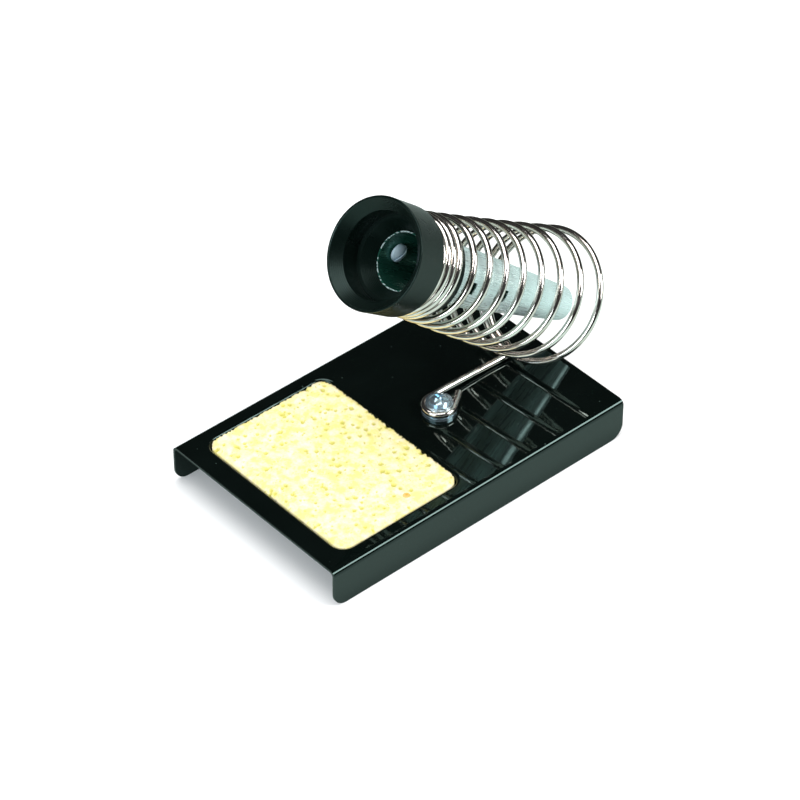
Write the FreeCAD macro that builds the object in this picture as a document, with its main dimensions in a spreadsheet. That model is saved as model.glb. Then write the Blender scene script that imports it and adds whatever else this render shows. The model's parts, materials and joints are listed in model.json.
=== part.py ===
import FreeCAD, Part
import Sketcher
import math
import os

from FreeCAD import Placement, Rotation, Vector

# Soldering iron stand: a bent sheet base with a sponge tray, and a sprung wire holder with a funnel.
# Origin on the floor under the middle of the whole stand, whose guard tube overhangs the base.
# X runs along the base, the sponge at -X. Z is up. Millimetres.

SIZES = [
    # Base: one sheet folded down along both long sides, with a tray pressed into it
    ("base_middle_x", -9.95, "middle of the base"),
    ("base_length", 150.0, "along X"),
    ("base_width", 96.0, "over the folded sides"),
    ("base_height", 18.0, "floor to the top face"),
    ("sheet_gauge", 1.0, "steel and its enamel"),
    ("fold_radius", 2.4, "outside of the long folds"),
    ("side_corner_radius", 6.2, "lower corners of the folded sides"),
    ("tray_middle_x", -44.55, "middle of the tray"),
    ("tray_length", 60.8, "along X"),
    ("tray_width", 81.4, "along Y"),
    ("tray_depth", 8.0, "top face to the tray's floor"),
    ("tray_corner_radius", 5.5, "in plan"),
    ("tray_lip_radius", 1.6, "rounded edge at the top"),
    ("tray_floor_radius", 1.0, "rounded edge at the floor"),
    # Sponge
    ("sponge_length", 58.6, "along X"),
    ("sponge_width", 79.2, "along Y"),
    ("sponge_height", 8.4, "stands a little above the top face"),
    ("sponge_corner_radius", 5.1, "in plan"),
    # Clamp screw through the base
    ("clamp_x", 6.55, "screw axis"),
    ("clamp_y", -4.4, "screw axis"),
    ("clamp_hole_radius", 2.25, "in the base"),
    ("clamp_shank_radius", 1.95, "an M4 thread"),
    ("clamp_head_radius", 3.9, "pan head"),
    ("clamp_head_height", 2.4, "pan head"),
    ("clamp_head_edge", 0.9, "straight edge of the head under its dome"),
    ("clamp_shank_length", 10.5, "below the head"),
    ("recess_width", 1.0, "one wing of the cross recess"),
    ("recess_span", 4.4, "across the cross recess"),
    ("recess_depth", 1.5, "below the top of the head"),
    ("washer_radius", 7.1, "plain washer under the wire eye"),
    ("washer_height", 1.2, "plain washer under the wire eye"),
    ("top_washer_radius", 5.4, "plain washer between the head and the eye"),
    ("top_washer_height", 0.7, "plain washer between the head and the eye"),
    ("washer_bore_radius", 2.15, "plain and lock washers"),
    ("lock_washer_radius", 3.8, "split washer under the base"),
    ("lock_washer_height", 0.9, "split washer"),
    ("lock_washer_gap", 0.8, "its split"),
    ("nut_flats", 7.0, "across the flats"),
    ("nut_height", 3.2, "hexagon nut"),
    ("nut_bore_radius", 2.0, "hexagon nut"),
    # Wire holder
    ("wire_radius", 1.4, "spring wire"),
    ("wire_play", 0.05, "above and below the eye, so that it can turn"),
    ("eye_radius", 6.0, "middle of the wire round the screw"),
    ("tail_length", 9.3, "cut end of the wire after the eye"),
    ("tail_turn", 36.0, "degrees that the cut end turns in past the leg's direction"),
    ("leg_floor_gap", 0.3, "leg above the base"),
    ("leg_drop_start", 17.05, "X where the leg leaves the washer's level"),
    ("leg_drop_end", 36.05, "X where it reaches its lowest level"),
    ("coil_front_radius", 18.92, "middle of the wire at the first turn"),
    ("coil_growth", 0.0855, "gain in radius per mm of depth"),
    ("coil_front_depth", 17.5, "first turn, from the funnel's rim"),
    ("coil_lead_in", 0.3, "part of a turn before the first"),
    ("coil_run_out", 0.75, "part of a turn after the last, down to the leg"),
    ("corners_per_turn", 12, "tangent arcs that make up a turn"),
    ("corners_of_eye", 6, "tangent arcs that make up the eye"),
    ("close_turns", 3.0, "turns that grip the funnel's neck"),
    ("close_pitch", 3.0, "their pitch"),
    ("open_turns", 8.0, "open turns"),
    ("open_pitch", 8.2, "pitch at their start"),
    ("open_pitch_gain", 0.3, "half the gain in pitch per turn"),
    ("end_turn_bulge", 1.6, "depth by which the last part turn bows out"),
    ("axis_sag", 2.0, "degrees that the coil's axis bends down from the funnel's"),
    # Funnel: radii and depths along its axis from the rim
    ("mouth_x", -22.15, "middle of the rim"),
    ("mouth_y", 1.0, "upright plane of the funnel's and the coil's axes"),
    ("mouth_z", 107.9, "middle of the rim"),
    ("mouth_tilt", 37.9, "degrees, axis below the horizontal"),
    ("rim_radius", 22.3, "outside"),
    ("lip_radius", 21.3, "inside of the rim"),
    ("rim_rounding", 0.45, "edges of the rim"),
    ("cup_radius", 17.4, "straight inside wall"),
    ("throat_depth", 4.0, "end of the sloping lip"),
    ("cup_depth", 12.4, "end of the straight wall"),
    ("shelf_radius", 15.6, "inner edge of the shelf at the end of the wall"),
    ("seat_depth", 17.8, "end of the cone that runs in from the shelf to the guard tube"),
    ("shoulder_radius", 21.7, "outside, at the shoulder"),
    ("shoulder_depth", 15.0, "shoulder that the coil comes up to"),
    ("neck_front_radius", 17.2, "inside the coil"),
    ("neck_rear_radius", 18.55, "inside the coil"),
    ("neck_depth", 33.0, "rear end of the neck"),
    ("guard_seat_radius", 11.8, "hole for the guard tube"),
    # Guard tube, a rolled sheet tube that shields the hot tip
    ("guard_front_depth", 17.4, "front edge, just proud of its hole"),
    ("guard_radius", 11.6, "outside of the straight part"),
    ("guard_bore_radius", 11.1, "inside of the straight part"),
    ("guard_taper_depth", 60.0, "start of the taper"),
    ("guard_tip_depth", 123.0, "rear end"),
    ("guard_tip_radius", 7.2, "outside of the rear end"),
    ("guard_tip_bore", 6.7, "inside of the rear end"),
    ("guard_seam", 0.5, "open seam along the tube"),
    ("guard_seam_turn", 38.0, "degrees from the top of the tube to the seam, away from the screw's slot"),
    ("vent_length", 7.5, "along the tube"),
    ("vent_width", 4.9, "across the tube"),
    ("front_vent_depth", 48.5, "middle of the front pair of vents"),
    ("rear_vent_depth", 70.5, "middle of the rear pair of vents"),
    # Slotted screw that fixes the guard tube to the funnel's neck
    ("guard_screw_depth", 27.0, "along the funnel's axis"),
    ("guard_screw_hole", 2.0, "radius in the tube and the funnel"),
    ("guard_screw_radius", 1.95, "an M4 thread"),
    ("guard_screw_seat", 10.4, "underside of the head from the funnel's axis"),
    ("guard_head_radius", 3.7, "pan head"),
    ("guard_head_height", 2.3, "pan head"),
    ("guard_head_edge", 1.0, "straight edge of the head under its dome"),
    ("guard_screw_length", 6.2, "below the head"),
    ("guard_hole_end", 17.2, "end of the hole from the funnel's axis"),
    ("slot_width", 1.1, "screwdriver slot"),
    ("slot_depth", 1.2, "screwdriver slot"),
    ("slot_turn", 28.0, "degrees that the slot leans towards the mouth"),
]

SMALL = 0.01  # lengths and volumes below this count as nothing
SHORTEST_LINE = 0.0001  # gap between two arcs of the wire that needs a line

doc = FreeCAD.newDocument("SolderingIronStand")
sheet = doc.addObject("Spreadsheet::Sheet", "Sizes")
for row, (alias, value, note) in enumerate(SIZES, start=1):
    sheet.set(f"A{row}", alias)
    sheet.set(f"B{row}", str(value))
    sheet.set(f"C{row}", note)
    sheet.setAlias(f"B{row}", alias)
doc.recompute()


def size(alias):
    """The value of one cell of the sheet."""
    return float(getattr(sheet, alias))


def bind(thing, **expressions):
    """Binds properties of an object to expressions in the sheet's aliases."""
    for name, expression in expressions.items():
        thing.setExpression(name.replace("__", "."), expression)


def new_body(label):
    body = doc.addObject("PartDesign::Body", label)
    body.Label = label
    return body


def new_sketch(body, plane, level=None):
    """An empty sketch on one of the body's own planes, raised to a level given as an expression."""
    sketch = body.newObject("Sketcher::SketchObject", "Sketch")
    support = [item for item in body.Origin.OriginFeatures if item.Role == plane][0]
    sketch.AttachmentSupport = [(support, "")]
    sketch.MapMode = "FlatFace"
    if level:
        sketch.setExpression("AttachmentOffset.Base.z", level)
    return sketch


def pin_corner(sketch, line, x, y):
    """Fixes the start of a line at (x, y), each an alias or None for zero."""
    for alias, kind, axis in ((x, "DistanceX", -2), (y, "DistanceY", -1)):
        if alias is None:
            sketch.addConstraint(Sketcher.Constraint("PointOnObject", line, 1, axis))
        else:
            index = sketch.addConstraint(Sketcher.Constraint(kind, -1, 1, line, 1, size(alias)))
            sketch.setExpression(f"Constraints[{index}]", f"Sizes.{alias}")


def outline(sketch, corners):
    """A closed polygon whose corners are pairs of aliases."""
    spots = [Vector(size(x) if x else 0.0, size(y) if y else 0.0, 0.0) for x, y in corners]
    first = sketch.GeometryCount
    for start, end in zip(spots, spots[1:] + spots[:1]):
        sketch.addGeometry(Part.LineSegment(start, end))
    for number, corner in enumerate(corners):
        following = (number + 1) % len(corners)
        sketch.addConstraint(
            Sketcher.Constraint("Coincident", first + number, 2, first + following, 1)
        )
        pin_corner(sketch, first + number, *corner)


def rectangle(sketch, middle, length, width):
    """A rectangle parallel to the axes, from expressions (number, expression) for its sizes."""
    (x, x_text), (y, y_text) = middle
    (dx, dx_text), (dy, dy_text) = length, width
    first = sketch.GeometryCount
    spots = [
        Vector(x + sx * dx / 2, y + sy * dy / 2, 0.0)
        for sx, sy in ((-1, -1), (1, -1), (1, 1), (-1, 1))
    ]
    for start, end in zip(spots, spots[1:] + spots[:1]):
        sketch.addGeometry(Part.LineSegment(start, end))
    for number in range(4):
        sketch.addConstraint(
            Sketcher.Constraint("Coincident", first + number, 2, first + (number + 1) % 4, 1)
        )
        direction = "Vertical" if number % 2 else "Horizontal"
        sketch.addConstraint(Sketcher.Constraint(direction, first + number))
    bound = [
        ("DistanceX", (first, 1, first, 2), dx, dx_text),
        ("DistanceY", (first + 1, 1, first + 1, 2), dy, dy_text),
        ("DistanceX", (-1, 1, first, 1), x - dx / 2, f"{x_text} - ({dx_text}) / 2"),
        ("DistanceY", (-1, 1, first, 1), y - dy / 2, f"{y_text} - ({dy_text}) / 2"),
    ]
    for kind, places, value, text in bound:
        index = sketch.addConstraint(Sketcher.Constraint(kind, *places, value))
        sketch.setExpression(f"Constraints[{index}]", text)


def circle(sketch, x, y, radius):
    """A circle from aliases: x may be None for zero."""
    middle = Vector(size(x) if x else 0.0, size(y), 0.0)
    index = sketch.addGeometry(Part.Circle(middle, Vector(0, 0, 1), size(radius)))
    for alias, kind, axis in ((x, "DistanceX", -2), (y, "DistanceY", -1)):
        if alias is None:
            sketch.addConstraint(Sketcher.Constraint("PointOnObject", index, 3, axis))
        else:
            number = sketch.addConstraint(Sketcher.Constraint(kind, -1, 1, index, 3, size(alias)))
            sketch.setExpression(f"Constraints[{number}]", f"Sizes.{alias}")
    number = sketch.addConstraint(Sketcher.Constraint("Radius", index, size(radius)))
    sketch.setExpression(f"Constraints[{number}]", f"Sizes.{radius}")


def cell(alias):
    """A size as a number and as an expression."""
    return size(alias), f"Sizes.{alias}"


ZERO = (0.0, "0")


def pad(body, sketch, length):
    feature = body.newObject("PartDesign::Pad", "Pad")
    feature.Profile = sketch
    feature.setExpression("Length", length)
    doc.recompute()
    return feature


def pocket(body, sketch, length, midplane=False):
    """A pocket that is turned round if it would miss the body."""
    volume = body.Shape.Volume
    feature = body.newObject("PartDesign::Pocket", "Pocket")
    feature.Profile = sketch
    feature.setExpression("Length", length)
    feature.Midplane = midplane
    doc.recompute()
    if body.Shape.Volume > volume - SMALL:
        feature.Reversed = True
        doc.recompute()
    return feature


def round_edges(body, radius, wanted):
    """Rounds the edges of the body's tip for which wanted(edge) holds."""
    base = body.Tip
    names = [f"Edge{n}" for n, edge in enumerate(base.Shape.Edges, start=1) if wanted(edge)]
    feature = body.newObject("PartDesign::Fillet", "Fillet")
    feature.Base = (base, names)
    feature.setExpression("Radius", f"Sizes.{radius}")
    doc.recompute()
    return feature


def near(value, target):
    return abs(value - target) < SMALL


def level_edge(edge, height):
    """True if the whole edge or face lies at this height."""
    return near(edge.BoundBox.ZMin, height) and near(edge.BoundBox.ZMax, height)


def upright_edge(edge):
    box = edge.BoundBox
    return near(box.XLength, 0) and near(box.YLength, 0)


# Base plate: a solid block with the folds and the tray, hollowed to the gauge of the sheet
plate = new_body("base_plate")
block = new_sketch(plate, "XY_Plane")
rectangle(block, (cell("base_middle_x"), ZERO), cell("base_length"), cell("base_width"))
pad(plate, block, "Sizes.base_height")
top = size("base_height")
half_width = size("base_width") / 2
round_edges(
    plate,
    "fold_radius",
    lambda edge: level_edge(edge, top) and near(abs(edge.CenterOfMass.y), half_width),
)

tray = new_sketch(plate, "XY_Plane", "Sizes.base_height")
rectangle(tray, (cell("tray_middle_x"), ZERO), cell("tray_length"), cell("tray_width"))
pocket(plate, tray, "Sizes.tray_depth")
floor = top - size("tray_depth")
tray_half_length = size("tray_length") / 2
tray_half_width = size("tray_width") / 2


def in_tray(edge):
    """True if the edge lies within the tray's outline."""
    middle = edge.BoundBox.Center
    along = abs(middle.x - size("tray_middle_x")) <= tray_half_length + SMALL
    return along and abs(middle.y) <= tray_half_width + SMALL


def at_base_end(box):
    """True if a bounding box is flat and lies on one of the base's ends."""
    reach = abs(box.XMin - size("base_middle_x"))
    return near(box.XLength, 0) and near(reach, size("base_length") / 2)


round_edges(plate, "tray_corner_radius", lambda edge: upright_edge(edge) and in_tray(edge))
round_edges(plate, "tray_floor_radius", lambda edge: level_edge(edge, floor) and in_tray(edge))
round_edges(plate, "tray_lip_radius", lambda edge: level_edge(edge, top) and in_tray(edge))

solid = plate.Tip
open_faces = []
for number, face in enumerate(solid.Shape.Faces, start=1):
    if level_edge(face, 0) or at_base_end(face.BoundBox):
        open_faces.append(f"Face{number}")
shell = plate.newObject("PartDesign::Thickness", "Thickness")
shell.Base = (solid, open_faces)
shell.Reversed = True
shell.Join = "Intersection"
shell.setExpression("Value", "Sizes.sheet_gauge")
doc.recompute()

round_edges(
    plate, "side_corner_radius", lambda edge: level_edge(edge, 0) and at_base_end(edge.BoundBox)
)
clamp_hole = new_sketch(plate, "XY_Plane", "Sizes.base_height")
circle(clamp_hole, "clamp_x", "clamp_y", "clamp_hole_radius")
pocket(plate, clamp_hole, "Sizes.sheet_gauge * 2")

# Sponge: a plain block that rests on the tray's floor
sponge = new_body("sponge")
sponge_plan = new_sketch(sponge, "XY_Plane")
rectangle(sponge_plan, (ZERO, ZERO), cell("sponge_length"), cell("sponge_width"))
pad(sponge, sponge_plan, "Sizes.sponge_height")
round_edges(sponge, "sponge_corner_radius", upright_edge)
bind(
    sponge,
    Placement__Base__x="Sizes.tray_middle_x",
    Placement__Base__z="Sizes.base_height - Sizes.tray_depth",
)


def turned_part(label, corners):
    """A solid turned about the funnel's axis, from corners of (radius, depth) aliases."""
    body = new_body(label)
    section = new_sketch(body, "XZ_Plane")
    outline(section, corners)
    turn = body.newObject("PartDesign::Revolution", "Revolution")
    turn.Profile = section
    turn.ReferenceAxis = (section, ["V_Axis"])
    turn.Angle = 360.0
    doc.recompute()
    return body


def place_on_funnel_axis(thing):
    """Puts an object's own Z axis on the funnel's axis, pointing into the holder."""
    thing.Placement = Placement(Vector(0, 0, 0), Rotation(Vector(0, 1, 0), 90.0 + size("mouth_tilt")))
    bind(
        thing,
        Placement__Base__x="Sizes.mouth_x",
        Placement__Base__y="Sizes.mouth_y",
        Placement__Base__z="Sizes.mouth_z",
        Placement__Rotation__Angle="90 + Sizes.mouth_tilt",
    )


# Funnel
funnel = turned_part(
    "funnel",
    [
        ("lip_radius", None),
        ("rim_radius", None),
        ("shoulder_radius", "shoulder_depth"),
        ("neck_front_radius", "shoulder_depth"),
        ("neck_rear_radius", "neck_depth"),
        ("guard_seat_radius", "neck_depth"),
        ("guard_seat_radius", "seat_depth"),
        ("shelf_radius", "cup_depth"),
        ("cup_radius", "cup_depth"),
        ("cup_radius", "throat_depth"),
    ],
)
round_edges(funnel, "rim_rounding", lambda edge: level_edge(edge, 0))
screw_hole = new_sketch(funnel, "XZ_Plane")
circle(screw_hole, None, "guard_screw_depth", "guard_screw_hole")
pocket(funnel, screw_hole, "Sizes.guard_hole_end")
place_on_funnel_axis(funnel)

# Guard tube with its open seam, two pairs of vents and the screw's hole
guard = turned_part(
    "guard_tube",
    [
        ("guard_bore_radius", "guard_front_depth"),
        ("guard_radius", "guard_front_depth"),
        ("guard_radius", "guard_taper_depth"),
        ("guard_tip_radius", "guard_tip_depth"),
        ("guard_tip_bore", "guard_tip_depth"),
        ("guard_bore_radius", "guard_taper_depth"),
    ],
)
seam = new_sketch(guard, "XZ_Plane")
seam.AttachmentOffset = Placement(Vector(0, 0, 0), Rotation(Vector(0, -1, 0), size("guard_seam_turn")))
bind(seam, AttachmentOffset__Rotation__Angle="Sizes.guard_seam_turn")
rectangle(
    seam,
    (
        (-size("guard_radius"), "-Sizes.guard_radius"),
        cell("guard_tip_depth"),
    ),
    cell("guard_radius"),
    (size("guard_tip_depth") * 2, "Sizes.guard_tip_depth * 2"),
)
pocket(guard, seam, "Sizes.guard_seam", midplane=True)
vents = new_sketch(guard, "XZ_Plane")
for vent_depth in ("front_vent_depth", "rear_vent_depth"):
    rectangle(vents, (ZERO, cell(vent_depth)), cell("vent_width"), cell("vent_length"))
pocket(guard, vents, "Sizes.guard_radius * 3", midplane=True)
tube_hole = new_sketch(guard, "XZ_Plane")
circle(tube_hole, None, "guard_screw_depth", "guard_screw_hole")
pocket(guard, tube_hole, "Sizes.guard_radius * 2")
place_on_funnel_axis(guard)


def primitive(kind, name, **expressions):
    thing = doc.addObject(f"Part::{kind}", name)
    bind(thing, **expressions)
    return thing


def join(name, *parts):
    union = doc.addObject("Part::MultiFuse", name)
    union.Shapes = list(parts)
    return union


def cut(label, base, tool):
    difference = doc.addObject("Part::Cut", label)
    difference.Base = base
    difference.Tool = tool
    difference.Label = label
    return difference


def pan_screw(name, shank_radius, shank_length, head_radius, head_edge, head_height):
    """Shank, head edge and domed top of a pan-head screw, its head's underside at Z = 0."""
    shank = primitive(
        "Cylinder",
        f"{name}_shank",
        Radius=f"Sizes.{shank_radius}",
        Height=f"Sizes.{shank_length} + Sizes.{head_edge}",
        Placement__Base__z=f"-Sizes.{shank_length}",
    )
    head = primitive(
        "Cylinder", f"{name}_head", Radius=f"Sizes.{head_radius}", Height=f"Sizes.{head_height}"
    )
    dome = primitive(
        "Sphere",
        f"{name}_dome",
        Radius=f"(Sizes.{head_radius} ^ 2 + (Sizes.{head_height} - Sizes.{head_edge}) ^ 2)"
        f" / (2 * (Sizes.{head_height} - Sizes.{head_edge}))",
        Placement__Base__z=f"Sizes.{head_height} - (Sizes.{head_radius} ^ 2"
        f" + (Sizes.{head_height} - Sizes.{head_edge}) ^ 2)"
        f" / (2 * (Sizes.{head_height} - Sizes.{head_edge}))",
    )
    domed = doc.addObject("Part::Common", f"{name}_domed")
    domed.Base = head
    domed.Tool = dome
    return join(f"{name}_blank", shank, domed)


def stand_on_clamp_axis(thing, height):
    """Places an object on the clamp screw's axis at a height given as an expression."""
    bind(
        thing,
        Placement__Base__x="Sizes.clamp_x",
        Placement__Base__y="Sizes.clamp_y",
        Placement__Base__z=height,
    )


# Clamp screw with a cross recess
wings = []
for across, along in (("recess_width", "recess_span"), ("recess_span", "recess_width")):
    wings.append(
        primitive(
            "Box",
            f"{across}_wing",
            Length=f"Sizes.{across}",
            Width=f"Sizes.{along}",
            Height="Sizes.clamp_head_height",
            Placement__Base__x=f"-Sizes.{across} / 2",
            Placement__Base__y=f"-Sizes.{along} / 2",
            Placement__Base__z="Sizes.clamp_head_height - Sizes.recess_depth",
        )
    )
clamp_screw = cut(
    "base_screw",
    pan_screw(
        "clamp",
        "clamp_shank_radius",
        "clamp_shank_length",
        "clamp_head_radius",
        "clamp_head_edge",
        "clamp_head_height",
    ),
    join("cross_recess", *wings),
)
EYE_TOP = (
    "Sizes.base_height + Sizes.washer_height + 2 * Sizes.wire_play + Sizes.wire_radius"
    " + sqrt(Sizes.wire_radius ^ 2 - (Sizes.eye_radius - Sizes.top_washer_radius) ^ 2)"
)
stand_on_clamp_axis(clamp_screw, f"{EYE_TOP} + Sizes.top_washer_height")


def ring(name, radius, bore, height):
    """A flat ring from aliases, standing on Z = 0."""
    disc = primitive("Cylinder", f"{name}_disc", Radius=f"Sizes.{radius}", Height=f"Sizes.{height}")
    opening = primitive(
        "Cylinder", f"{name}_bore", Radius=f"Sizes.{bore}", Height=f"Sizes.{height}"
    )
    return cut(name, disc, opening)


washer = ring("eye_washer", "washer_radius", "washer_bore_radius", "washer_height")
stand_on_clamp_axis(washer, "Sizes.base_height")
top_washer = ring("top_washer", "top_washer_radius", "washer_bore_radius", "top_washer_height")
stand_on_clamp_axis(top_washer, EYE_TOP)

lock_ring = ring("lock_ring", "lock_washer_radius", "washer_bore_radius", "lock_washer_height")
split = primitive(
    "Box",
    "lock_split",
    Length="Sizes.lock_washer_radius * 2",
    Width="Sizes.lock_washer_gap",
    Height="Sizes.lock_washer_height",
    Placement__Base__y="-Sizes.lock_washer_gap / 2",
)
lock_washer = cut("lock_washer", lock_ring, split)
UNDER_PLATE = "Sizes.base_height - Sizes.sheet_gauge - Sizes.lock_washer_height"
stand_on_clamp_axis(lock_washer, UNDER_PLATE)

hexagon = doc.addObject("Part::Prism", "nut_hexagon")
hexagon.Polygon = 6
bind(hexagon, Circumradius="Sizes.nut_flats / sqrt(3)", Height="Sizes.nut_height")
thread = primitive("Cylinder", "nut_bore", Radius="Sizes.nut_bore_radius", Height="Sizes.nut_height")
nut = cut("base_nut", hexagon, thread)
stand_on_clamp_axis(nut, f"{UNDER_PLATE} - Sizes.nut_height")

# Slotted screw, driven outwards from inside the guard tube into the funnel's neck
driver_slot = primitive(
    "Box",
    "driver_slot",
    Length="Sizes.guard_head_radius * 2",
    Width="Sizes.slot_width",
    Height="Sizes.guard_head_height",
    Placement__Base__x="-Sizes.guard_head_radius",
    Placement__Base__y="-Sizes.slot_width / 2",
    Placement__Base__z="Sizes.guard_head_height - Sizes.slot_depth",
)
guard_screw = cut(
    "guard_screw",
    pan_screw(
        "guard",
        "guard_screw_radius",
        "guard_screw_length",
        "guard_head_radius",
        "guard_head_edge",
        "guard_head_height",
    ),
    driver_slot,
)

# The funnel's axis, and the coil's axis, which leaves it in a shallow arc
tilt = math.radians(size("mouth_tilt"))
sag = math.radians(size("axis_sag"))
mouth = Vector(size("mouth_x"), size("mouth_y"), size("mouth_z"))
side = Vector(0, -1, 0)


def inward(angle):
    """Unit vector into the holder, at an angle below the horizontal."""
    return Vector(math.cos(angle), 0, -math.sin(angle))


def upward(angle):
    return Vector(math.sin(angle), 0, math.cos(angle))


guard_screw.Placement = Placement(
    mouth + inward(tilt) * size("guard_screw_depth") - side * size("guard_screw_seat"),
    Rotation(upward(tilt), inward(tilt), side, "ZXY") * Rotation(Vector(0, 0, 1), -size("slot_turn")),
)

wire = size("wire_radius")
close_end = size("coil_front_depth") + size("close_turns") * size("close_pitch")
last_turn = size("close_turns") + size("open_turns")
run_out = size("coil_run_out")


def coil_depth(turn):
    """Depth of the wire from the rim, a number of turns after the first."""
    if turn <= size("close_turns"):
        return size("coil_front_depth") + turn * size("close_pitch")
    opened = min(turn, last_turn) - size("close_turns")
    depth = close_end + opened * size("open_pitch") + opened ** 2 * size("open_pitch_gain")
    if turn > last_turn:
        depth += size("end_turn_bulge") * math.sin(math.pi * (turn - last_turn) / run_out)
    return depth


full_depth = coil_depth(last_turn)


def corner_reach(part_turn):
    """Distance of a corner from a circle's middle, per radius, where an arc of this part rounds it."""
    return 1 / math.cos(math.pi * part_turn)


def coil_point(turn):
    """Corner that the wire rounds, a number of turns from the near side over the top."""
    depth = coil_depth(turn)
    bent = max(depth - close_end, 0.0)
    rate = sag / (full_depth - close_end)
    angle = tilt - rate * bent
    centre = mouth + inward(tilt) * min(depth, close_end)
    if bent:
        centre += Vector(
            (math.sin(tilt) - math.sin(angle)) / rate,
            0,
            (math.cos(tilt) - math.cos(angle)) / rate,
        )
    radius = size("coil_front_radius") + size("coil_growth") * (depth - size("coil_front_depth"))
    radius *= corner_reach(1 / size("corners_per_turn"))
    around = 2 * math.pi * turn
    return centre + side * radius * math.cos(around) + upward(angle) * radius * math.sin(around)


def coil_corners():
    """Corners from the cut front end down to where the leg begins."""
    first = -size("coil_lead_in")
    turns = last_turn + run_out - first
    steps = round(turns * size("corners_per_turn"))
    return [coil_point(first + turns * step / steps) for step in range(steps)]


def leg_corners(drop_x):
    """The leg: down to the base beside the coil, in under it and up to the washer's level."""
    leg_level = size("base_height") + size("leg_floor_gap") + wire
    leg_y = size("clamp_y") + size("eye_radius")
    return [
        Vector(drop_x, mouth.y, leg_level),
        Vector(size("leg_drop_end"), leg_y, leg_level),
        Vector(size("leg_drop_start"), leg_y, eye_level),
    ]


def eye_corners():
    """The eye hooked round the clamp screw, and the cut end of its short tail."""
    clamp = Vector(size("clamp_x"), size("clamp_y"), eye_level)
    radius = size("eye_radius")
    swept = 180 + size("tail_turn")
    steps = int(size("corners_of_eye"))
    reach = radius * corner_reach(swept / 360 / steps)
    corners = []
    for step in range(steps):
        angle = math.radians(90 + swept * (step + 0.5) / steps)
        corners.append(clamp + Vector(math.cos(angle), math.sin(angle), 0) * reach)
    last = math.radians(90 + swept)
    tail_start = clamp + Vector(math.cos(last), math.sin(last), 0) * radius
    corners.append(tail_start + Vector(-math.sin(last), math.cos(last), 0) * size("tail_length"))
    return corners


def rounded_wire(corners):
    """Straight lines and arcs that meet smoothly, each arc as large as its corner allows."""
    edges = []
    here = corners[0]
    for before, corner, after in zip(corners, corners[1:], corners[2:]):
        back = before - corner
        ahead = after - corner
        reach = min(back.Length, ahead.Length) / 2
        back.normalize()
        ahead.normalize()
        inside = (back + ahead).normalize()
        half = back.getAngle(ahead) / 2
        start = corner + back * reach
        end = corner + ahead * reach
        middle = corner + inside * reach * (1 - math.sin(half)) / math.cos(half)
        if (start - here).Length > SHORTEST_LINE:
            edges.append(Part.LineSegment(here, start).toShape())
        edges.append(Part.Arc(start, middle, end).toShape())
        here = end
    edges.append(Part.LineSegment(here, corners[-1]).toShape())
    return Part.Wire(edges)


eye_level = size("base_height") + size("washer_height") + size("wire_play") + wire
corners = coil_corners()
corners += leg_corners(corners[-1].x)
corners += eye_corners()
section = Part.Wire(Part.Circle(corners[0], corners[1] - corners[0], wire).toShape())
holder_spring = doc.addObject("Part::Feature", "holder_spring")
holder_spring.Label = "holder_spring"
holder_spring.Shape = rounded_wire(corners).makePipeShell([section], True, False)
holder_spring.Placement = Placement()

doc.recompute()

NODES = [
    plate,
    sponge,
    holder_spring,
    funnel,
    guard,
    guard_screw,
    clamp_screw,
    washer,
    top_washer,
    lock_washer,
    nut,
]
for thing in doc.Objects:
    if "Invalid" in thing.State or "Error" in thing.State:
        raise RuntimeError(f"{thing.Label} did not recompute: {thing.State}")
os.makedirs("parts", exist_ok=True)
for thing in NODES:
    shape = thing.Shape
    if shape.isNull() or not shape.isValid():
        raise RuntimeError(f"{thing.Label} has no valid shape")
    if len(shape.Solids) != 1:
        raise RuntimeError(f"{thing.Label} has {len(shape.Solids)} solids")
    shape.exportStep(f"parts/{thing.Label}.step")
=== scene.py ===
import json
import math
import random

import bmesh
import bpy
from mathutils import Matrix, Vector, kdtree, noise


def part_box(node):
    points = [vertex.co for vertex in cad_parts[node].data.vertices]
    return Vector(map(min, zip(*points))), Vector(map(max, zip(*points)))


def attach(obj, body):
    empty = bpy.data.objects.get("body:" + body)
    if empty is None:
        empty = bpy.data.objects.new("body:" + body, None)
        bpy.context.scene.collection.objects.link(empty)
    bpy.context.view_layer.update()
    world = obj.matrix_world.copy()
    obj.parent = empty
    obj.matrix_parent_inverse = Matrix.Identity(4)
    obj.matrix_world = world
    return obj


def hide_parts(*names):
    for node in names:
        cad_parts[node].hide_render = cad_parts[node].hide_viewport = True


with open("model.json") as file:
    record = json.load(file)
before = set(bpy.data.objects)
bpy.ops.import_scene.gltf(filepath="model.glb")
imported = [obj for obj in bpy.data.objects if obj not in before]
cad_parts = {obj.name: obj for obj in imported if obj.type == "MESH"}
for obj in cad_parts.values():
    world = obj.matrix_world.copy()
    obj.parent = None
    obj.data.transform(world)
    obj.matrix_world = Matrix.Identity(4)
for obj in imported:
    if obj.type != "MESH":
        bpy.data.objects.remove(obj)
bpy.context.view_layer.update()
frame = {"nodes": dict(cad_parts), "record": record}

# Soldering iron stand. Metres, +Z up, as in the CAD. The sponge, the lights and the camera are placed
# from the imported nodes' boxes, and the holder's materials from the record's iron_socket mount.
MM = 0.001
WHITE = (1.0, 1.0, 1.0)

base_low, base_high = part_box("base_plate")
base_middle = (base_low + base_high) / 2
floor_middle = Vector((base_middle.x, base_middle.y, base_low.z))
socket = next(m for m in frame["record"]["mounts"] if m["name"] == "iron_socket")
holder_axis = Vector(socket["axis"]).normalized()
holder_point = Vector(socket["pos_m"])


# ---------------------------------------------------------------- node helpers


def add(tree, kind, inputs=None, **settings):
    """A node with its properties and its unlinked inputs set."""
    made = tree.nodes.new(kind)
    for name, value in settings.items():
        setattr(made, name, value)
    for name, value in (inputs or {}).items():
        made.inputs[name].default_value = value
    return made


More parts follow.
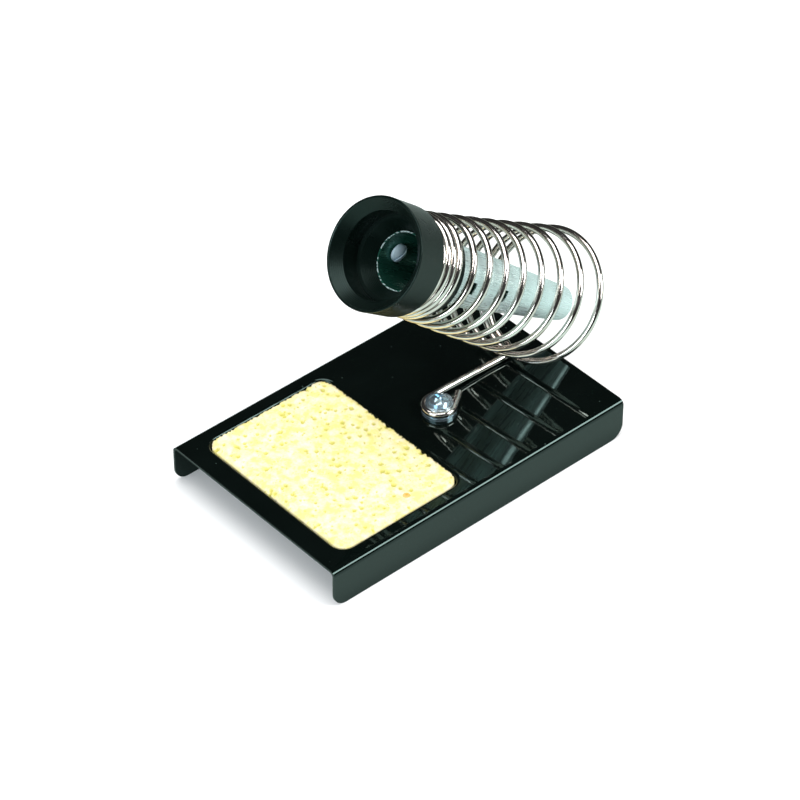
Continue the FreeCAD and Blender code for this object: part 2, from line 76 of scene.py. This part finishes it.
def join(tree, source, target):
    tree.links.new(source, target)


def new_material(name, **values):
    """A material and its shader, whose uniform values are set on its own sockets."""
    material = bpy.data.materials.new(name)
    material.use_nodes = True
    shader = material.node_tree.nodes["Principled BSDF"]
    for key, value in values.items():
        shader.inputs[key.replace("_", " ")].default_value = value
    return material, material.node_tree, shader


def place(tree):
    """The object's own coordinates, in metres."""
    return add(tree, "ShaderNodeTexCoord").outputs["Object"]


def noise_field(tree, coordinates, scale, detail=4.0, roughness=0.55):
    """Soft noise from 0 to 1, with about scale features to the metre."""
    field = add(
        tree,
        "ShaderNodeTexNoise",
        {"Scale": scale, "Detail": detail, "Roughness": roughness},
    )
    join(tree, coordinates, field.inputs["Vector"])
    return field.outputs["Fac"]


def remap(tree, value, span, to_span):
    """Maps one span of values to another, clamped at both ends."""
    step = add(
        tree,
        "ShaderNodeMapRange",
        {"From Min": span[0], "From Max": span[1], "To Min": to_span[0], "To Max": to_span[1]},
    )
    join(tree, value, step.inputs["Value"])
    return step.outputs["Result"]


def mix_colours(tree, factor, first, second):
    """Mixes two colours, each a tuple or another node's output."""
    mix = add(tree, "ShaderNodeMix", data_type="RGBA")
    join(tree, factor, mix.inputs["Factor"])
    for colour, name in ((first, "A"), (second, "B")):
        target = next(s for s in mix.inputs if s.name == name and s.type == "RGBA")
        if isinstance(colour, tuple):
            target.default_value = (*colour, 1.0)
        else:
            join(tree, colour, target)
    return next(s for s in mix.outputs if s.type == "RGBA")


def calculate(tree, operation, first, second):
    """One step of arithmetic on two outputs or numbers."""
    step = add(tree, "ShaderNodeMath", operation=operation)
    for number, value in enumerate((first, second)):
        if isinstance(value, (int, float)):
            step.inputs[number].default_value = value
        else:
            join(tree, value, step.inputs[number])
    return step.outputs["Value"]


def combine(tree, operation, first, second, output="Vector"):
    """One step of vector arithmetic on two outputs or vectors."""
    step = add(tree, "ShaderNodeVectorMath", operation=operation)
    for number, value in enumerate((first, second)):
        if isinstance(value, Vector):
            step.inputs[number].default_value = value
        else:
            join(tree, value, step.inputs[number])
    return step.outputs[output]


def add_bump(tree, shader, height, depth, under=None):
    """Bump whose full height is depth metres, on top of another bump if one is given."""
    bump = add(tree, "ShaderNodeBump", {"Strength": 1.0, "Distance": depth})
    join(tree, height, bump.inputs["Height"])
    if under:
        join(tree, under, bump.inputs["Normal"])
    join(tree, bump.outputs["Normal"], shader.inputs["Normal"])
    return bump.outputs["Normal"]


def speckles(tree, coordinates, scale, channel, rarity, largest):
    """1 inside round specks and 0 outside. Cells whose random channel is under rarity have none."""
    cells = add(tree, "ShaderNodeTexVoronoi", {"Scale": scale})
    join(tree, coordinates, cells.inputs["Vector"])
    split = add(tree, "ShaderNodeSeparateColor")
    join(tree, cells.outputs["Color"], split.inputs["Color"])
    size = remap(tree, split.outputs[channel], (rarity, 1.0), (0.0, largest))
    return calculate(tree, "LESS_THAN", cells.outputs["Distance"], size)


def along_axis(tree, coordinates, axis):
    """Distance along an axis, in metres."""
    return combine(tree, "DOT_PRODUCT", coordinates, axis, "Value")


def faces_axis(tree, coordinates, point, axis):
    """1 where the surface faces a line through a point, and 0 where it faces away."""
    offset = combine(tree, "SUBTRACT", coordinates, point)
    crossed = combine(tree, "CROSS_PRODUCT", offset, axis)
    outward = combine(tree, "CROSS_PRODUCT", axis, crossed)
    normal = add(tree, "ShaderNodeTexCoord").outputs["Normal"]
    facing = combine(tree, "DOT_PRODUCT", outward, normal, "Value")
    return calculate(tree, "LESS_THAN", facing, 0.0)


def drawn_out(tree, coordinates, axis, shrink):
    """Coordinates with a share of their distance along an axis taken off, to streak a texture."""
    taken = add(tree, "ShaderNodeVectorMath", operation="SCALE")
    taken.inputs[0].default_value = axis
    depth = along_axis(tree, coordinates, axis)
    join(tree, calculate(tree, "MULTIPLY", depth, -shrink), taken.inputs["Scale"])
    return combine(tree, "ADD", coordinates, taken.outputs["Vector"])


# ---------------------------------------------------------------- materials

RING_PITCH = 0.55 * MM
RING_WANDER = 0.2 * MM
STREAK_SHRINK = 0.93


def enamel():
    """Gloss black enamel: faint orange peel, mottled gloss and a few specks of dust."""
    material, tree, shader = new_material("enamel", IOR=1.5, Specular_Tint=(0.62, 0.90, 0.84, 1.0))
    here = place(tree)
    dust = speckles(tree, here, scale=330.0, channel="Red", rarity=0.86, largest=0.12)
    mottle = noise_field(tree, here, 55.0, detail=5.0)
    black = mix_colours(tree, mottle, (0.0005, 0.0011, 0.0009), (0.0022, 0.0042, 0.0036))
    colour = mix_colours(tree, dust, black, (0.012, 0.022, 0.018))
    join(tree, colour, shader.inputs["Base Color"])
    gloss = remap(tree, noise_field(tree, here, 120.0), (0.35, 0.75), (0.015, 0.05))
    rough = calculate(tree, "MAXIMUM", gloss, calculate(tree, "MULTIPLY", dust, 0.45))
    join(tree, rough, shader.inputs["Roughness"])
    fine = noise_field(tree, here, 520.0, detail=2.0)
    peel = add_bump(tree, shader, fine, depth=0.003 * MM)
    waves = noise_field(tree, here, 110.0, detail=3.0)
    add_bump(tree, shader, waves, depth=0.016 * MM, under=peel)
    return material


def funnel_plastic():
    """Satin black moulding with fine rings left by its turned mould."""
    material, tree, shader = new_material(
        "funnel_plastic", IOR=1.5, Specular_IOR_Level=0.36, Specular_Tint=(0.55, 0.80, 0.74, 1.0)
    )
    here = place(tree)
    patch = noise_field(tree, here, 70.0, detail=6.0)
    colour = mix_colours(tree, patch, (0.0006, 0.0022, 0.0016), (0.0028, 0.0070, 0.0056))
    join(tree, colour, shader.inputs["Base Color"])
    join(tree, remap(tree, patch, (0.3, 0.75), (0.24, 0.38)), shader.inputs["Roughness"])
    depth = along_axis(tree, here, holder_axis)
    wander = calculate(tree, "MULTIPLY", noise_field(tree, here, 60.0), RING_WANDER)
    shifted = calculate(tree, "ADD", depth, wander)
    turns = calculate(tree, "MULTIPLY", shifted, 2 * math.pi / RING_PITCH)
    rings = add(tree, "ShaderNodeMath", operation="SINE")
    join(tree, turns, rings.inputs[0])
    ringed = add_bump(tree, shader, rings.outputs["Value"], depth=0.012 * MM)
    grain = noise_field(tree, here, 1500.0, detail=2.0)
    add_bump(tree, shader, grain, depth=0.02 * MM, under=ringed)
    return material


def spring_wire():
    """Bright nickel plate with faint warm stains, uneven gloss and a fine grain."""
    material, tree, shader = new_material(
        "spring_wire", Metallic=1.0, Specular_Tint=(0.25, 0.22, 0.20, 1.0)
    )
    here = place(tree)
    stain = remap(tree, noise_field(tree, here, 85.0, detail=5.0), (0.42, 0.78), (0.0, 1.0))
    colour = mix_colours(tree, stain, (0.90, 0.86, 0.82), (0.66, 0.56, 0.48))
    join(tree, colour, shader.inputs["Base Color"])
    rough = remap(tree, noise_field(tree, here, 260.0), (0.3, 0.8), (0.07, 0.24))
    join(tree, rough, shader.inputs["Roughness"])
    add_bump(tree, shader, noise_field(tree, here, 1400.0, detail=3.0), depth=0.012 * MM)
    return material


def guard_sheet():
    """Bright plated sheet, streaked along the tube by rolling, with painted shade darkening its inside
    faces.
    """
    material, tree, shader = new_material("guard_sheet", Metallic=0.55)
    here = place(tree)
    cloud = noise_field(tree, here, 60.0)
    bright = mix_colours(tree, cloud, (0.50, 0.66, 0.65), (0.70, 0.84, 0.84))
    # Painted shade: every face turned towards the tube's axis gets this dark green instead of the
    # plated colour.
    painted_inside_shade = mix_colours(tree, cloud, (0.008, 0.070, 0.048), (0.025, 0.140, 0.100))
    inner = faces_axis(tree, here, holder_point, holder_axis)
    join(tree, mix_colours(tree, inner, bright, painted_inside_shade), shader.inputs["Base Color"])
    streaks = noise_field(tree, drawn_out(tree, here, holder_axis, STREAK_SHRINK), 900.0)
    join(tree, remap(tree, streaks, (0.3, 0.75), (0.20, 0.42)), shader.inputs["Roughness"])
    add_bump(tree, shader, streaks, depth=0.006 * MM)
    return material


def zinc_plate(name, metallic):
    """Blue-white zinc plate: the less metallic, the more chalky."""
    material, tree, shader = new_material(name, Metallic=metallic)
    here = place(tree)
    cloud = noise_field(tree, here, 420.0, detail=5.0)
    colour = mix_colours(tree, cloud, (0.42, 0.62, 0.76), (0.78, 0.90, 0.96))
    join(tree, colour, shader.inputs["Base Color"])
    join(tree, remap(tree, cloud, (0.3, 0.75), (0.14, 0.30)), shader.inputs["Roughness"])
    add_bump(tree, shader, noise_field(tree, here, 2600.0, detail=3.0), depth=0.006 * MM)
    return material


def sponge_foam():
    """Pale yellow cellulose: painted shade darkens and greens its pores, with paler patches and a few
    brown specks.
    """
    material, tree, shader = new_material("sponge_foam", Roughness=0.92, IOR=1.35)
    here = place(tree)
    cloud = noise_field(tree, here, 230.0, detail=6.0, roughness=0.65)
    patch = remap(tree, cloud, (0.40, 0.62), (0.0, 1.0))
    skin = mix_colours(tree, patch, (0.78, 0.69, 0.25), (0.84, 0.75, 0.56))
    grain = remap(tree, noise_field(tree, here, 900.0), (0.45, 0.75), (0.0, 0.40))
    grained = mix_colours(tree, grain, skin, (0.74, 0.68, 0.18))
    pore = add(tree, "ShaderNodeAttribute", attribute_name="pore").outputs["Fac"]
    # Painted shade in the pores: the deeper in a pore's hollow, the darker and greener the colour.
    pore_shaded = mix_colours(tree, pore, grained, (0.56, 0.52, 0.12))
    speck = speckles(tree, here, scale=120.0, channel="Green", rarity=0.965, largest=0.24)
    brown = mix_colours(tree, calculate(tree, "MULTIPLY", speck, 0.75), pore_shaded, (0.66, 0.36, 0.05))
    join(tree, brown, shader.inputs["Base Color"])
    rough_skin = noise_field(tree, here, 1600.0, detail=5.0, roughness=0.7)
    add_bump(tree, shader, rough_skin, depth=0.35 * MM)
    return material


# ---------------------------------------------------------------- sponge

# The block: the side of a mesh cell, the radius of its upright corners, and the height kept free
# under the CAD block's top for the swells.
SPONGE_CELL = 0.42 * MM
SPONGE_CORNER = 5.0 * MM
SPONGE_HEADROOM = 0.3 * MM

# The sides: they bulge by the spread above a plain foot, and the far ones are torn into notches.
SPONGE_SPREAD = 0.8 * MM
SPONGE_FOOT = 2.0 * MM
TEAR_SIZE = 1.5 * MM
TEAR_DEPTH = 1.7 * MM
TEAR_SHIFT = Vector((7, 3, 1))

# The top: it has swells, each with a size and a height in mm, and its rim sinks over the edge's width.
SWELLS_MM = ((9.0, 0.3), (2.2, 0.12))
SPONGE_EDGE = 2.6 * MM
NEAR_DROP = 1.2 * MM
FAR_DROP = 0.15 * MM

# The pores: their smallest and largest radius, and the power that makes small ones common. Their
# radius varies by a share, over a raggedness' size. The depth, the painted shade in the pores and the
# search's reach are factors on a radius or on the hollow's 0 to 1.
PORE_SEED = 41
PORES_PER_MM2 = 0.12
PORE_RADIUS = (0.22 * MM, 1.15 * MM)
PORE_SMALLNESS = 3
PORE_RAGGED_SHARE = 0.45
PORE_RAGGED_SIZE = 0.7 * MM
PORE_REACH = 1.3
PORE_DEPTH = 0.8
PORE_PAINTED_SHADE = 1.7


def rounded_plan(x, y, half_x, half_y, radius):
    """Moves a point of a rectangle's corner square into a quarter disc."""
    a = max(abs(x) - (half_x - radius), 0.0) / radius
    b = max(abs(y) - (half_y - radius), 0.0) / radius
    if a and b:
        x = math.copysign(half_x - radius + radius * a * math.sqrt(1 - b * b / 2), x)
        y = math.copysign(half_y - radius + radius * b * math.sqrt(1 - a * a / 2), y)
    return x, y


def inside_rim(x, y, half_x, half_y, radius):
    """Distance from a point of the rounded rectangle to its outline."""
    a = abs(x) - (half_x - radius)
    b = abs(y) - (half_y - radius)
    if a > 0 and b > 0:
        return radius - math.hypot(a, b)
    return min(half_x - abs(x), half_y - abs(y))


def sponge_block(low, high):
    """A closed block of fine quads with rounded upright corners."""
    size = high - low
    middle = (low + high) / 2
    across = [round(size[i] / SPONGE_CELL) for i in range(3)]
    mesh = bmesh.new()
    bmesh.ops.create_grid(mesh, x_segments=across[0], y_segments=across[1], size=0.5)
    for vertex in mesh.verts:
        x, y = rounded_plan(
            vertex.co.x * size.x, vertex.co.y * size.y, size.x / 2, size.y / 2, SPONGE_CORNER
        )
        vertex.co = Vector((middle.x + x, middle.y + y, high.z))
    # The sides: the top's outline, in order round the middle from one corner, is repeated downwards.
    ring = [vertex for vertex in mesh.verts if vertex.is_boundary]
    ring.sort(key=lambda vertex: math.atan2(vertex.co.y - middle.y, vertex.co.x - middle.x))
    corner = ring.index(min(ring, key=lambda vertex: vertex.co.x + vertex.co.y))
    ring = ring[corner:] + ring[:corner]
    step_down = Vector((0, 0, -size.z / across[2]))
    for _ in range(across[2]):
        below = [mesh.verts.new(vertex.co + step_down) for vertex in ring]
        for i in range(len(ring)):
            mesh.faces.new((ring[i], ring[i - 1], below[i - 1], below[i]))
        ring = below
    mesh.faces.new(reversed(ring))
    mesh.normal_update()
    return mesh


def scatter_pores(low, high, rng):
    """A search tree of pore centres on the top and the sides, and a radius for each."""
    size = high - low
    along_x = Vector((size.x, 0, 0))
    along_y = Vector((0, size.y, 0))
    along_z = Vector((0, 0, size.z))
    faces = [
        (Vector((low.x, low.y, high.z)), along_x, along_y),
        (low, along_x, along_z),
        (Vector((low.x, high.y, low.z)), along_x, along_z),
        (low, along_y, along_z),
        (Vector((high.x, low.y, low.z)), along_y, along_z),
    ]
    centres = []
    for corner, along, up in faces:
        area = along.length * up.length / MM**2
        for _ in range(round(area * PORES_PER_MM2)):
            centres.append(corner + along * rng.random() + up * rng.random())
    small, large = PORE_RADIUS
    radii = [small + (large - small) * rng.random() ** PORE_SMALLNESS for _ in centres]
    tree = kdtree.KDTree(len(centres))
    for number, centre in enumerate(centres):
        tree.insert(centre, number)
    tree.balance()
    return tree, radii


def pore_at(point, tree, radii):
    """How much painted pore shade a point gets, from 0 to 1, by how deep it is in a pore, and the
    pore's depth there in metres.
    """
    share = 0.0
    depth = 0.0
    for _, number, distance in tree.find_range(point, PORE_RADIUS[1] * PORE_REACH):
        ragged = noise.noise(point / PORE_RAGGED_SIZE + Vector((number, 0, 0)))
        radius = radii[number] * (1 + PORE_RAGGED_SHARE * ragged)
        if distance < radius:
            hollow = 1 - (distance / radius) ** 2
            # The painted shade grows with the hollow's depth.
            share = max(share, min(hollow * PORE_PAINTED_SHADE, 1.0))
            depth = max(depth, hollow * radii[number] * PORE_DEPTH)
    return share, depth


def top_move(spot, high, from_side, far_side):
    """Upward move of a point near the top: its swells, less the drop of a rim."""
    near_top = max(0.0, 1 - (high.z - spot.z) / SPONGE_EDGE)
    near_rim = max(0.0, 1 - max(from_side, 0.0) / SPONGE_EDGE)
    swell = sum(noise.noise(spot / (size * MM)) * height * MM for size, height in SWELLS_MM)
    drop = FAR_DROP if far_side else NEAR_DROP
    return near_top * (swell - near_rim**2 * drop)


def side_move(spot, low, outward, far_side):
    """Sideways move of a point on a side: the bulge, less the tears of a far side."""
    sideways = Vector((outward.x, outward.y, 0))
    if sideways.length == 0:
        return Vector((0, 0, 0))
    rise = min(max(spot.z - low.z - SPONGE_FOOT, 0.0) / SPONGE_FOOT, 1.0)
    torn = abs(noise.noise(spot / TEAR_SIZE + TEAR_SHIFT)) * TEAR_DEPTH
    return sideways.normalized() * (SPONGE_SPREAD - (torn if far_side else 0.0)) * rise


def wear(mesh, low, high):
    """Moves the block's vertices into pores, swells, a sunk rim and torn far sides."""
    tree, radii = scatter_pores(low, high, random.Random(PORE_SEED))
    layer = mesh.verts.layers.float.new("pore")
    middle = (low + high) / 2
    half = (high - low) / 2
    moves = []
    for vertex in mesh.verts:
        spot = vertex.co.copy()
        outward = vertex.normal.copy()
        from_side = inside_rim(spot.x - middle.x, spot.y - middle.y, half.x, half.y, SPONGE_CORNER)
        to_far = min(high.x - spot.x, high.y - spot.y)
        far_side = to_far < min(spot.x - low.x, spot.y - low.y)
        share, depth = pore_at(spot, tree, radii)
        if spot.z < low.z + SPONGE_FOOT:
            share, depth = 0.0, 0.0
        move = -outward * depth
        move.z += top_move(spot, high, from_side, far_side)
        if from_side < SPONGE_CELL:
            move += side_move(spot, low, outward, far_side)
        vertex[layer] = share
        moves.append(move)
    for vertex, move in zip(mesh.verts, moves):
        vertex.co += move


def make_sponge():
    """The worn sponge, in the place of its plain CAD block."""
    low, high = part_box("sponge")
    high = high - Vector((0, 0, SPONGE_HEADROOM))
    mesh = sponge_block(low, high)
    wear(mesh, low, high)
    data = bpy.data.meshes.new("sponge_pad")
    mesh.to_mesh(data)
    mesh.free()
    for polygon in data.polygons:
        polygon.use_smooth = True
    pad = bpy.data.objects.new("sponge_pad", data)
    bpy.context.scene.collection.objects.link(pad)
    pad.data.materials.append(sponge_foam())
    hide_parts("sponge")
    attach(pad, "sponge")


# ---------------------------------------------------------------- finish of the CAD nodes


def dress(names, material):
    """Gives CAD nodes a material in every slot."""
    for name in names:
        piece = frame["nodes"][name]
        for slot in piece.material_slots:
            slot.link = "OBJECT"
            slot.material = material


# ---------------------------------------------------------------- stage, light and camera

FLOOR_SIZE = 8.0
SENSOR_WIDTH = 36.0

# Soft boxes: offset from the base's middle on the floor, width and height, watts, colour.
SOFT_BOXES = {
    "top_box": (Vector((-0.10, 0.05, 1.15)), (0.9, 0.9), 11.0, WHITE),
    "left_box": (Vector((-1.10, -0.15, 0.60)), (0.7, 0.5), 9.0, (0.86, 0.95, 1.0)),
    "front_box": (Vector((0.70, -0.98, 0.86)), (0.7, 0.5), 14.0, WHITE),
}


def make_floor():
    """A pale matt floor under the base, with a painted reflection: darker and greener where it is seen
    in a reflection.
    """
    bpy.ops.mesh.primitive_plane_add(size=FLOOR_SIZE, location=floor_middle)
    floor = bpy.context.object
    floor.name = "studio_floor"
    material, tree, shader = new_material("studio_floor", Roughness=0.85)
    tone = noise_field(tree, place(tree), 3.0)
    pale = mix_colours(tree, tone, (0.90, 0.90, 0.90), (0.92, 0.92, 0.92))
    mirrored = add(tree, "ShaderNodeLightPath").outputs["Is Glossy Ray"]
    # Painted reflection: glossy rays see this dark green instead of the pale floor.
    colour = mix_colours(tree, mirrored, pale, (0.40, 0.50, 0.46))
    join(tree, colour, shader.inputs["Base Color"])
    floor.data.materials.append(material)


def make_light(name, offset, size, watts, colour):
    """A soft box at an offset from the base, facing it."""
    lamp = bpy.data.lights.new(name, "AREA")
    lamp.shape = "RECTANGLE"
    lamp.size, lamp.size_y = size
    lamp.energy = watts
    lamp.color = colour
    holder = bpy.data.objects.new(name, lamp)
    holder.location = floor_middle + offset
    holder.rotation_euler = (-offset).to_track_quat("-Z", "Y").to_euler()
    bpy.context.scene.collection.objects.link(holder)


def make_world(seen, lighting, mirrored):
    """A plain world: white for the camera, dimmer for soft light and darkest in reflections."""
    world = bpy.data.worlds.new("studio")
    world.use_nodes = True
    tree = world.node_tree
    backdrop = tree.nodes["Background"]
    path = add(tree, "ShaderNodeLightPath")
    dim = remap(tree, path.outputs["Is Glossy Ray"], (0.0, 1.0), (lighting, mirrored))
    bright = calculate(tree, "MULTIPLY", path.outputs["Is Camera Ray"], seen)
    strength = calculate(tree, "MAXIMUM", dim, bright)
    backdrop.inputs["Color"].default_value = (*WHITE, 1.0)
    join(tree, strength, backdrop.inputs["Strength"])
    bpy.context.scene.world = world


def make_camera(azimuth, elevation, distance, rise, lens):
    """A camera round the base's middle, raised in its own view. Azimuth 0 looks along +Y."""
    turn = math.radians(azimuth)
    tilt = math.radians(elevation)
    back = Vector((math.sin(turn) * math.cos(tilt), -math.cos(turn) * math.cos(tilt), math.sin(tilt)))
    up = Vector((-math.sin(turn) * math.sin(tilt), math.cos(turn) * math.sin(tilt), math.cos(tilt)))
    data = bpy.data.cameras.new("camera")
    data.lens = lens
    data.sensor_width = SENSOR_WIDTH
    camera = bpy.data.objects.new("camera", data)
    camera.location = floor_middle + up * rise + back * distance
    camera.rotation_mode = "QUATERNION"
    camera.rotation_quaternion = (-back).to_track_quat("-Z", "Y")
    bpy.context.scene.collection.objects.link(camera)
    bpy.context.scene.camera = camera


make_sponge()
dress(["base_plate"], enamel())
dress(["holder_spring"], spring_wire())
dress(["funnel"], funnel_plastic())
dress(["guard_tube"], guard_sheet())
dress(
    ["base_screw", "eye_washer", "top_washer", "lock_washer", "base_nut"],
    zinc_plate("zinc_plate", metallic=0.92),
)
dress(["guard_screw"], zinc_plate("dull_zinc_plate", metallic=0.3))

make_floor()
make_world(seen=1.0, lighting=0.55, mirrored=0.03)
for name, (offset, size, watts, colour) in SOFT_BOXES.items():
    make_light(name, offset, size, watts, colour)
bpy.context.scene.view_settings.view_transform = "Standard"
make_camera(azimuth=-41.36, elevation=40.67, distance=1.435, rise=0.0226, lens=164.1)
